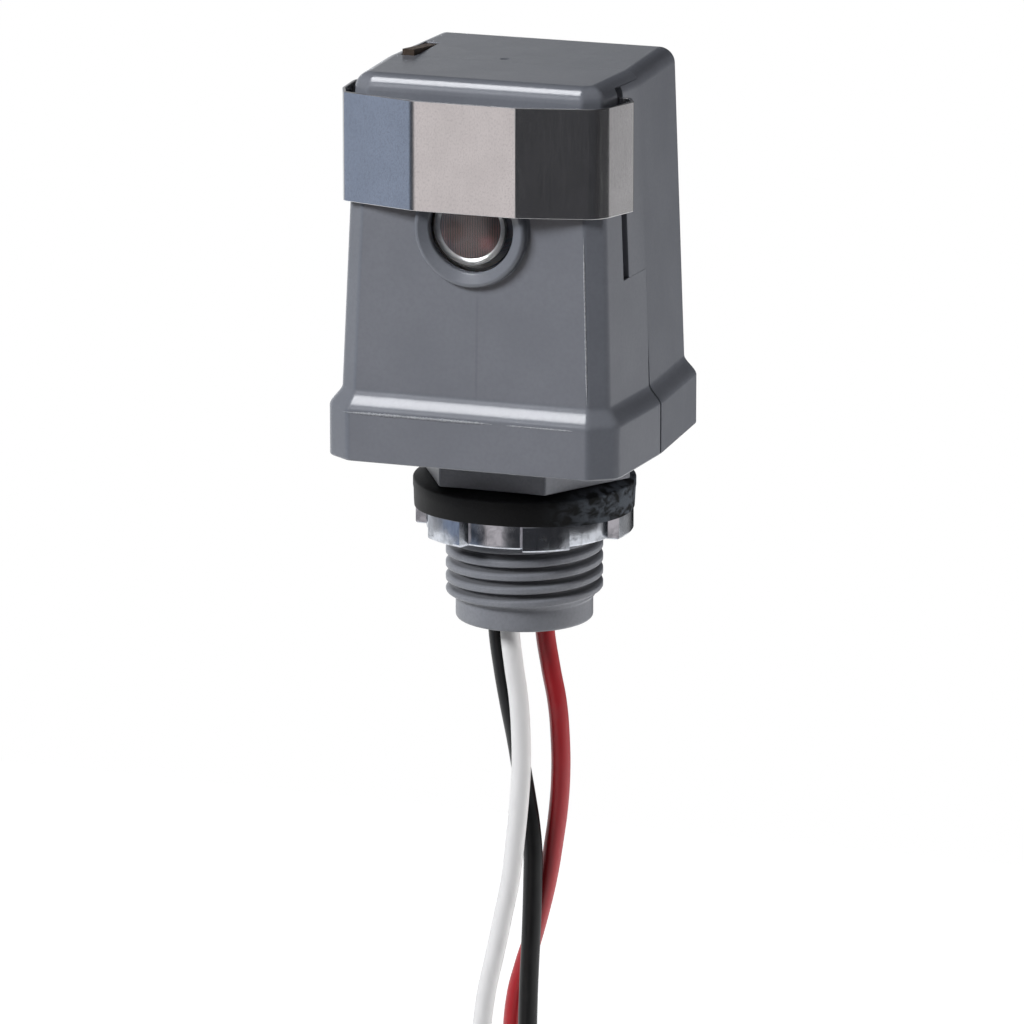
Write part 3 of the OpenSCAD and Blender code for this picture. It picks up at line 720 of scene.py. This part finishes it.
def front_space(gap):
    """All in front of the seam and the top's tongue, less the rear cover's cheeks."""
    space = block((-FAR, -FAR, -FAR), (FAR, SEAM_Y - gap, FAR))
    tongue = block((-TONGUE_X + gap, -FAR / 2, TOP_Z - WALL), (TONGUE_X - gap, TONGUE_Y - gap, FAR / 2))
    combine(space, tongue, "UNION")
    for low, high in ((-FAR - 1, -TONGUE_X), (TONGUE_X, FAR + 1)):
        cut(space, block((low, CHEEK_FRONT - gap, SLOT_LOW_Z - gap), (high, 0, SLOT_HIGH_Z + gap)))
    return space


def hollow_housing():
    """Both halves as one shell, with the shield's slots, the neck's hole and the tab's notch."""
    shell = cut(housing_skin(), housing_room())
    for low, high in ((-FAR, -TONGUE_X), (TONGUE_X, FAR)):
        cut(shell, block((low, SLOT_Y - SLOT_W / 2, SLOT_LOW_Z), (high, CHEEK_FRONT, SLOT_HIGH_Z)))
    half = NECK_HALF + NECK_GAP
    cut(shell, block((-half, -half, BASE_Z - 1), (half, half, FLOOR_Z + 1)))
    notch_low = (BOARD_LOW.x - TAB_GAP, TAB_FRONT - TAB_GAP, TOP_Z - WALL - TOP_R)
    cut(shell, block(notch_low, (BOARD_HIGH.x + TAB_GAP, TAB_FRONT + TAB_L + TAB_GAP, FAR)))
    return shell


# Half the seam's opening at each height of a flank
SEAM_SPREAD = ((BASE_Z - 1, 0.24), (RIM_Z - 1, 0.21), (RIM_Z + 2, 0.17), (RIM_Z + 5.5, 0.09),
               (RIM_Z + 9, 0.016))


def seam_wedge(side):
    """Opening of the seam in one flank, wide at the flange and closed on the body."""
    depth, front_share = 3.4, 2.6
    near, beyond = sorted((side * (HALF_W - depth), side * FAR))
    rings = []
    for z, w in SEAM_SPREAD:
        rings.append([(near, SEAM_Y - w, z), (beyond, SEAM_Y - front_share * w, z),
                      (beyond, SEAM_Y + w, z), (near, SEAM_Y + w, z)])
    return temporary(closed_stack("seam_wedge", rings))


def on_joint(a, b):
    """Whether an edge lies in the closed joint between the two halves, where it stays crisp."""
    near = 0.1
    closed_z, tongue_z = SEAM_SPREAD[-1][0] - near, TOP_Z - WALL - 2 * near

    def on_seam(p):
        return abs(p.y - SEAM_Y) < near and p.z > closed_z

    def on_cheek(p):
        level = min(abs(p.z - SLOT_LOW_Z), abs(p.z - SLOT_HIGH_Z)) < near
        return level and CHEEK_FRONT - near < p.y < SEAM_Y + 2 * near

    def on_tongue_end(p):
        return abs(p.y - TONGUE_Y) < near and p.z > tongue_z

    def on_tongue_side(p):
        return abs(abs(p.x) - TONGUE_X) < near and p.y > CHEEK_FRONT + near and p.z > tongue_z

    return any(lies(a) and lies(b) for lies in (on_seam, on_cheek, on_tongue_end, on_tongue_side))


# Window and ring: radii, then distances in front of the stem
LENS_R, LENS_LIP_R, LENS_GAP, LENS_STEPS = 5.7, 6.65, 0.05, 96
LENS_FACE, LENS_SEAT, LENS_BACK, LENS_EDGE = 19.99, 18.39, 17.59, 19.79
RING_R, RING_FACE = 7.55, 21.49


def lens_ring():
    """Raised ring with a dished face round the window, turned, with its foot sunk in the front wall."""
    outer_r, inner_r, dish, tilt, foot_r = 0.5, 0.4, 0.62, 108, 0.25
    foot, wide = LENS_SEAT + 0.4, RING_R + foot_r
    profile = [(LENS_R, foot), (wide, foot), (wide, LENS_FACE - 0.1)]
    profile += arc((wide, LENS_FACE + 0.1 + foot_r), foot_r, -90, -180, 4)
    profile += arc((RING_R - outer_r, RING_FACE - outer_r), outer_r, 0, tilt, 8)
    profile += arc((LENS_R + inner_r, RING_FACE - dish - inner_r), inner_r, tilt, 180, 6)
    verts, faces = turned(profile, LENS_STEPS)
    return temporary(solid_mesh("lens_ring", on_lens_axis(verts), faces))


def lens_hole(r, back, front):
    """Round cutter on the lens axis."""
    n = LENS_STEPS
    verts = [(*polar(r, 360 * k / n), along) for along in (back, front) for k in range(n)]
    faces = stack_faces(2, n) + [tuple(reversed(range(n))), tuple(range(n, 2 * n))]
    return temporary(solid_mesh("lens_hole", on_lens_axis(verts), faces))


GATE_X, GATE_Y = -1.4, -3.8


def gate_pit():
    """Small dished mark on the top where the moulding was fed."""
    r, floor_r, depth, above = 0.75, 0.3, 0.2, 0.3
    profile = [(AXIS_R, TOP_Z - depth - 0.02), (floor_r, TOP_Z - depth), (r, TOP_Z + 0.05),
               (r, TOP_Z + above), (AXIS_R, TOP_Z + above)]
    verts, faces = turned(profile, 24)
    return temporary(solid_mesh("gate_pit", [(x + GATE_X, y + GATE_Y, z) for x, y, z in verts], faces))


HOUSING_EASE = 0.14


def housing():
    """Splits the shell into its two mouldings and finishes each."""
    front = hollow_housing()
    rear = front.copy()
    rear.data = front.data.copy()
    link(rear)
    combine(front, front_space(HAIR_GAP / 2), "INTERSECT")
    cut(rear, front_space(-HAIR_GAP / 2))
    for obj in (front, rear):
        cut(obj, seam_wedge(-1), seam_wedge(1))
    cut(rear, gate_pit())
    combine(front, lens_ring(), "UNION")
    cut(front, lens_hole(LENS_R, LENS_BACK - 1, LENS_FACE + 0.6),
        lens_hole(LENS_LIP_R + LENS_GAP, LENS_BACK - 1, LENS_SEAT))
    for obj, name in ((front, "front_shell"), (rear, "rear_cover")):
        ease_edges(obj, HOUSING_EASE, keep_crisp=on_joint)
        even_light(obj, 50)
        obj.name = name + "_moulding"
        dress(obj, "housing", "housing_plastic", name)


def front_edge(z):
    """Point just inside the edge where the front meets the right-hand cut corner."""
    share = (z - RIM_Z) / (TOP_Z - RIM_Z)
    y = BASE_FRONT + BODY_STEP + FRONT_LEAN * share
    return side_at(y, BODY_STEP + SIDE_LEAN * share) - CORNER_CUT - 0.15, y + 0.02, z


FLASH = pale_flash()


def flash(name, start, end, thick, seed):
    """Ragged line of moulding flash from start to end, half sunk in the face and thin at both ends."""
    chance = random.Random(seed)
    rows, around, least_r, taper = 110, 8, 0.01, 7
    start, end = Vector(start), Vector(end)
    run = (end - start).normalized()
    across = run.cross(Vector((0, 1, 0))).normalized()
    out = run.cross(across)
    rings = []
    for k in range(rows + 1):
        t = k / rows
        r = thick * chance.uniform(0.6, 1) * min(1, taper * t, taper * (1 - t)) + least_r
        at = start + (end - start) * t
        spokes = [polar(r, 360 * i / around) for i in range(around)]
        rings.append([tuple(at + x * across + y * out) for x, y in spokes])
    obj = piece(name, closed_stack(name, rings), "housing", "housing_plastic")
    obj.data.materials[0] = FLASH
    smooth(obj, 60)


def flash_lines():
    """Two lines along the front of the rim, and one up the front's right-hand edge."""
    rim_z, rim_y, thin_y = RIM_Z - 0.1, BASE_FRONT + 0.03, BASE_FRONT + 0.05
    flash("rim_flash", (-17.0, rim_y, rim_z), (4.0, rim_y, rim_z), 0.22, 5)
    flash("rim_flash_end", (4.8, thin_y, rim_z), (15.0, thin_y, rim_z), 0.14, 7)
    flash("edge_flash", front_edge(RIM_Z + COVE_H), front_edge(LENS_Z), 0.13, 6)


housing()
flash_lines()


# The stem: hexagon, right-hand thread, plain end and bore

PITCH = 1.814
CREST_R, NUT_CREST_R, PILOT_R, BORE_R = 10.4, 10.6, 9.1, 6.5
THREAD_DEPTH = 1.05
# Shares of the pitch: half of a crest's top, and the flank from there to the groove's floor
CREST_HALF, FLANK = 0.16, 0.28
# Where one crest lies: degrees round the stem, and height
CREST_AT = (-70.4, -4.46)
HEX_HALF = 12.7


def thread_r(z, degrees):
    """Radius of the stem: wide rounded crests and narrow grooves that fade out at the plain end."""
    nut_run, fade_low, fade_h = 1.5, THREAD_END_Z - 0.35, 0.9
    climb = (z - CREST_AT[1]) / PITCH - (degrees - CREST_AT[0]) / 360
    groove = eased((abs(climb - round(climb)) - CREST_HALF) / FLANK)
    crest = CREST_R + (NUT_CREST_R - CREST_R) * min(max(z / nut_run, 0), 1)
    return PILOT_R + (crest - THREAD_DEPTH * groove - PILOT_R) * eased((z - fade_low) / fade_h)


def stem_thread():
    """Plain end with an eased foot, thread that reaches into the hexagon, and bore."""
    around, rise, foot_r, foot_steps = 144, 0.12, 0.4, 4
    degrees = [360 * i / around for i in range(around)]
    low, high = MOUTH_Z + foot_r, HEX_Z + 0.2
    rows = int((high - low) / rise)
    rings = [[(BORE_R, MOUTH_Z, a) for a in degrees]]
    for k in range(foot_steps + 1):
        lift = math.pi / 2 * k / foot_steps
        r, z = PILOT_R - foot_r * (1 - math.sin(lift)), MOUTH_Z + foot_r * (1 - math.cos(lift))
        rings.append([(r, z, a) for a in degrees])
    for k in range(1, rows + 1):
        z = low + (high - low) * k / rows
        rings.append([(thread_r(z, a), z, a) for a in degrees])
    rings.append([(BORE_R, high, a) for a in degrees])
    verts = [(*polar(r, a), z) for ring in rings for r, z, a in ring]
    last = len(verts) - around
    faces = stack_faces(len(rings), around)
    faces += [(last + i, last + (i + 1) % around, (i + 1) % around, i) for i in range(around)]
    thread = temporary(solid_mesh("stem_thread", verts, faces))
    smooth(thread, 60)
    return thread


def stem_head():
    """Hexagon, square neck in the housing's floor and holding plate above it, with the bore through all."""
    corner_ease, edge_ease = 0.5, 0.18
    plate_half, plate_back, plate_t = 10.9, 10.6, 1.5
    hexagon = []
    for out in range(0, 360, 60):
        corner = polar(HEX_HALF / math.cos(math.pi / 6), out)
        hexagon += eased_corner(corner, out - 30, out + 30, corner_ease, 4)
    head = prism("hexagon", hexagon, HEX_Z, BASE_Z)
    neck = block((-NECK_HALF, -NECK_HALF, BASE_Z - 0.5), (NECK_HALF, NECK_HALF, FLOOR_Z + 0.5))
    plate = block((-plate_half, -plate_half, FLOOR_Z), (plate_half, plate_back, FLOOR_Z + plate_t))
    combine(head, neck, "UNION")
    combine(head, plate, "UNION")
    hole = [polar(BORE_R, 360 * k / 96) for k in range(96)]
    cut(head, prism("bore", hole, HEX_Z - 1, FLOOR_Z + 3))
    ease_edges(head, edge_ease)
    even_light(head, 50)
    return head


def stem():
    """Head and thread as one piece."""
    thread, head = stem_thread(), stem_head()
    bpy.ops.object.select_all(action="DESELECT")
    for part in (head, thread):
        part.select_set(True)
    bpy.context.view_layer.objects.active = head
    bpy.ops.object.join()
    head.name = "threaded_stem"
    dress(head, "housing", "stem_plastic", "stem_base")


stem()


# Gasket and locknut

def gasket():
    """Thick washer: uneven rim, sloping top, and a lip that hangs over the lugs at each side."""
    rim, hole, lug_r, low, high = 14.75, 10.68, 14.46, NUT_TOP_Z + 0.02, HEX_Z - 0.02
    widest, head_r, slope, hang = 2.0, 0.3, 0.75, 0.6
    profile = [(hole, low), (lug_r - 0.5, low), (lug_r, low), (lug_r + 0.02, low - 0.1),
               (lug_r + 0.08, low - 0.12), (lug_r + 0.12, low), (rim - 0.08, low + widest - 0.5),
               (rim, low + widest)]
    profile += arc((rim - head_r, high - slope - head_r), head_r, 0, 70, 5)
    profile += [(rim - 2.2, high), (hole, high)]
    verts, faces = turned(profile, 128)
    chance = random.Random(11)
    waves = [(k, chance.uniform(0, 6.28), chance.uniform(0.01, 0.05)) for k in (2, 3, 5, 9)]
    most_swell = 1.003
    worn = []
    for x, y, z in verts:
        a = math.atan2(y, x)
        swell = 1 + sum(size * math.cos(k * a + turn) for k, turn, size in waves) / rim
        on_rim = math.hypot(x, y) > hole + 1 and z > low + 0.5
        keep = min(swell, most_swell) if on_rim else 1
        drop = hang * math.cos(a) ** 2 if z < low - 0.05 else 0
        worn.append((x * keep, y * keep, z - drop))
    obj = piece("rubber_gasket", solid_mesh("rubber_gasket", worn, faces), "seal", "gasket_rubber", "gasket")
    smooth(obj, 40)


def locknut():
    """Stamped ring with six lugs, eased edges and a chamfered hole."""
    lug_r, root_r, hole_r, lug_half, first, slope = 14.45, 12.95, 10.66, 12.5, 1.0, 1.6
    ease, ease_steps, chamfer, chamfer_h = 0.35, 5, 0.5, 0.45
    half = [4, 8, lug_half - 3, lug_half - 1.2, lug_half, lug_half + slope * 0.33, lug_half + slope * 0.66,
            lug_half + slope, 20, 25]
    marks = [-30] + [-m for m in reversed(half)] + [0] + half
    degrees = [(first + 60 * k + m, m) for k in range(6) for m in marks]

    def rim_r(off):
        share = min(max((abs(off) - lug_half) / slope, 0), 1)
        return lug_r + (root_r - lug_r) * share

    inside = [(hole_r + chamfer, 0), (hole_r, chamfer_h), (hole_r, NUT_TOP_Z - chamfer_h),
              (hole_r + chamfer, NUT_TOP_Z)]
    bends = [math.pi / 2 * k / ease_steps for k in range(ease_steps + 1)]
    outside = [(-ease * (1 - math.sin(a)), NUT_TOP_Z - ease * (1 - math.cos(a))) for a in bends]
    outside += [(-ease * (1 - math.cos(a)), ease * (1 - math.sin(a))) for a in bends]
    verts = [(*polar(r, a), z) for r, z in inside for a, off in degrees]
    verts += [(*polar(rim_r(off) + inset, a), z) for inset, z in outside for a, off in degrees]
    around, rows = len(degrees), len(inside) + len(outside)
    last = (rows - 1) * around
    faces = [tuple(reversed(face)) for face in stack_faces(rows, around)]
    faces += [(i, (i + 1) % around, last + (i + 1) % around, last + i) for i in range(around)]
    obj = piece("zinc_locknut", solid_mesh("zinc_locknut", verts, faces), "nut", "zinc_steel", "locknut")
    smooth(obj, 40)


gasket()
locknut()


# The light shield: one bent strip

def eased_path(points, rounds, steps):
    """A path through points with a round of given radius at each inner point."""
    path = [points[0]]
    for before, at, after, r in zip(points, points[1:], points[2:], rounds):
        into = Vector((at[0] - before[0], at[1] - before[1])).normalized()
        out = Vector((after[0] - at[0], after[1] - at[1])).normalized()
        turn = into.angle_signed(out)
        reach = r * math.tan(abs(turn) / 2)
        left = turn < 0
        side = Vector((-into.y, into.x)) if left else Vector((into.y, -into.x))
        centre = Vector(at) - into * reach + side * r
        for k in range(steps + 1):
            a = abs(turn) * k / steps * (1 if left else -1)
            spoke = -side
            path.append((centre.x + r * (spoke.x * math.cos(a) - spoke.y * math.sin(a)),
                         centre.y + r * (spoke.x * math.sin(a) + spoke.y * math.cos(a))))
    path.append(points[-1])
    return path


def light_shield():
    """Front bay, a facet at each side of it, and sides that hook into the slots: the right one flares."""
    sheet, edge_ease, bend_steps = 0.45, 0.09, 8
    bay = [(0, -23.4), (7.0, -23.4)]
    hook = [(18.75, -11.975), (15.3, -11.975)]
    right = bay + [(17.63, -20.56), (19.887, -14.37)] + hook
    left = bay + [(17.45, -20.61), (18.5, -18.0), (18.9, -13.2)] + hook
    right_line = eased_path(right, [0.5, 3.3, 0.7, 0.6], bend_steps)[1:]
    left_line = eased_path(left, [4.2, 0.7, 1.0, 0.7, 0.6], bend_steps)[1:]
    line = [(-x, y) for x, y in reversed(left_line)] + right_line
    inner = []
    for k, at in enumerate(line):
        before, after = line[max(k - 1, 0)], line[min(k + 1, len(line) - 1)]
        run = Vector((after[0] - before[0], after[1] - before[1])).normalized()
        inner.append((at[0] - run.y * sheet, at[1] + run.x * sheet))
    obj = prism("bent_shield", line + inner[::-1], SHIELD_LOW_Z, SHIELD_LOW_Z + SHIELD_H)
    ease_edges(obj, edge_ease, 2, 60)
    even_light(obj, 40)
    dress(obj, "shield", "shield_sheet", "light_shield")


light_shield()


# Window and cell

# The cup's brim in front of the stem, and how far the cell sits off the lens axis along X
CELL_BRIM, CELL_SHIFT = 19.65, -0.5


def window():
    """Domed window with a lip behind the wall and a pocket for the cell's cup."""
    r, edge, seat, dome = LENS_R - LENS_GAP, LENS_EDGE + 0.15, LENS_SEAT - 0.02, 1.0
    pocket_r, pocket = 5.35, CELL_BRIM + 0.03
    sphere = (r * r + dome * dome) / (2 * dome)
    rise = math.degrees(math.asin(r / sphere))
    profile = [(pocket_r, LENS_BACK), (LENS_LIP_R, LENS_BACK), (LENS_LIP_R, seat), (r, seat)]
    profile += arc((AXIS_R, edge + dome - sphere), sphere, 90 - rise, 90, 16)
    profile += [(AXIS_R, pocket), (pocket_r, pocket)]
    verts, faces = turned(profile, LENS_STEPS)
    mesh = solid_mesh("clear_window", on_lens_axis(verts), faces)
    obj = piece("clear_window", mesh, "housing", "clear_lens", "lens")
    smooth(obj, 40)


def cell_in_cup():
    """Striped disc at the foot of a bright cup that opens towards the window."""
    foot, face = LENS_BACK - 2.18, CELL_BRIM - 0.53
    disc_r, cup_r, cup_foot_r, curve, lean = 4.75, 4.78, 3.98, 1.5, 10
    disc = [(AXIS_R, foot), (disc_r - 0.05, foot), (disc_r, foot + 0.08), (disc_r, face - 0.1),
            (disc_r - 0.1, face), (AXIS_R, face)]
    start = polar(curve, lean - 90)
    cup = [(cup_r, face + 0.01), (cup_r, CELL_BRIM)]
    cup += arc((cup_foot_r - start[0], face + 0.02 - start[1]), curve, -42, -78, 9)
    cup.append((cup_foot_r, face + 0.01))
    for name, profile, slot in (("photocell_disc", disc, "cell_ceramic"),
                                ("photocell_cup", cup, "contact_metal")):
        verts, faces = turned(profile, LENS_STEPS)
        verts = [(x + CELL_SHIFT, y, z) for x, y, z in on_lens_axis(verts)]
        obj = piece(name, solid_mesh(name, verts, faces), "housing", slot, "photocell")
        smooth(obj, 40)


window()
cell_in_cup()


# Pieces inside keep their solids

def inner_pieces():
    """Gives each solid inside the finish of its slot."""
    kept = ("photocell_leads", "terminal_board", "heater_resistor", "bimetal_blade", "moving_contact",
            "fixed_contact", "contact_arm", "blade_bracket", "contact_bracket", "board_rivets",
            "calibration_screw", "lead_terminals", "inner_leads", "lead_plug")
    slots = {row["node"]: row["material_slot"] for row in frame["record"]["subparts"]}
    for node in kept:
        obj = frame["nodes"][node]
        obj.data.materials.clear()
        obj.data.materials.append(FINISHES[slots[node]])


inner_pieces()


# Floor, world and lamps

CAMERA_RAY, GLOSSY_RAY, TRANSMISSION_RAY = 0, 3, 6


def floor():
    """Pale floor that is white to the camera, apart from the shadow on it."""
    low_z, half_w, front, back = -0.2, 0.7, -0.25, 0.5
    mesh = bpy.data.meshes.new("pale_floor")
    corners = [(-half_w, front, low_z), (half_w, front, low_z), (half_w, back, low_z), (-half_w, back, low_z)]
    mesh.from_pydata(corners, [], [(0, 1, 2, 3)])
    obj = link(bpy.data.objects.new("pale_floor", mesh))
    f = finish("pale_floor")
    camera, glossy, through = (f.node("LightPath", output=ray)
                               for ray in (CAMERA_RAY, GLOSSY_RAY, TRANSMISSION_RAY))
    pale = f.node("BsdfDiffuse", None, {"Color": (0.8, 0.8, 0.8)})
    white = f.node("Emission", None, {"Color": (1, 1, 1), "Strength": 0.75})
    both = f.node("AddShader", None, {0: pale, 1: white})
    f.output(f.node("MixShader", None, {0: f.between(camera + glossy + through, 0, 1), 1: pale, 2: both}))
    mesh.materials.append(f.owner)


# What metal and gloss mirror in the room: azimuth and elevation of a card's middle, the angles from there at
# which it ends and is full, and its colour. A later card covers an earlier one.
CARDS = (
    (185, 14, 75, 35, (0.01, 0.01, 0.012)),
    (90, -8, 34, 14, (0.1, 0.1, 0.105)),
    (74, -10, 54, 38, (0.04, 0.04, 0.043)),
    (-24, 35, 15, 7, (2.3, 2.3, 2.4)),
    (136, -16, 23, 13, (0.49, 0.48, 0.49)),
    (150, -25, 26, 9, (0.37, 0.37, 0.37)),
    (-130, -10, 45, 20, (0.95, 0.97, 1.0)),
    (-54, -14, 30, 14, (0.30, 0.355, 0.47)),
    (-20, -14, 20, 11, (0.76, 0.70, 0.70)),
    (-36, -14, 12, 5, (0.03, 0.035, 0.045)),
    (20, -14, 27, 17, (0.046, 0.047, 0.052)),
)


def studio():
    """White to the camera, cards and a bright strip to reflections, and a dim room to all else."""
    world = bpy.data.worlds.new("studio")
    bpy.context.scene.world = world
    f = Finish(world)
    way = f.node("TexCoord", output=0)
    across, along, up = (f.node("SeparateXYZ", None, {0: way}, k) for k in range(3))

    def card(azimuth, elevation, ends, full):
        facing = f.node("VectorMath", {"operation": "DOT_PRODUCT"},
                        {0: way, 1: tuple(direction(azimuth, elevation))}, 1)
        return f.between(facing, math.cos(math.radians(ends)), math.cos(math.radians(full)))

    mirrored = (0.42, 0.42, 0.43)
    for *place, colour in CARDS:
        mirrored = f.mix(card(*place), mirrored, colour)
    strip = f.near(across, -0.33, 0.13, 0.05) * f.near(along, -0.225, 0.25, 0.05) * f.between(up, 0.3, 0.5)
    mirrored = f.mix(strip, mirrored, (15.0, 15.1, 15.4))
    dim = f.mix(f.between(up, -0.5, 0.0), (0.26, 0.26, 0.265), (0.17, 0.172, 0.176))
    dim = f.mix(f.between(up, 0.1, 0.9), dim, (0.04, 0.04, 0.042))
    dim = f.mix(card(-12, -26, 62, 32), dim, (0.06, 0.06, 0.062))
    soft, shown, white = (f.node("Background", None, {"Color": colour, "Strength": 1.0})
                          for colour in (dim, mirrored, (1, 1, 1)))
    camera, glossy, through = (f.node("LightPath", output=ray)
                               for ray in (CAMERA_RAY, GLOSSY_RAY, TRANSMISSION_RAY))
    lit = f.node("MixShader", None, {0: f.between(glossy + through, 0, 1), 1: soft, 2: shown})
    f.output(f.node("MixShader", None, {0: f.between(camera, 0, 1), 1: lit, 2: white}), "World")


def lamp(name, azimuth, elevation, distance, width, height, power, colour):
    """A softbox that faces a point just above the origin and shows in no reflection."""
    light = bpy.data.lights.new(name, "AREA")
    light.shape = "RECTANGLE"
    light.size, light.size_y = width, height
    light.energy = power
    light.color = colour
    obj = link(bpy.data.objects.new(name, light))
    way = direction(azimuth, elevation)
    obj.location = way * distance + Vector((0, 0, 0.03))
    obj.rotation_euler = way.to_track_quat("Z", "Y").to_euler()
    obj.visible_camera = obj.visible_glossy = False


floor()
studio()
lamp("left_softbox", -34, 32, 1.2, 0.6, 0.3, 15.7, (0.96, 0.98, 1.0))
lamp("right_softbox", 112, 0, 1.2, 0.6, 0.36, 3.45, (1.0, 1.0, 1.0))
lamp("low_right_fill", 112, -30, 0.34, 0.14, 0.14, 0.52, (1.0, 1.0, 1.0))
lamp("top_strip", -80, 71, 1.0, 0.25, 0.5, 0.4, (1.0, 1.0, 1.0))
bpy.context.scene.view_settings.view_transform = "Standard"
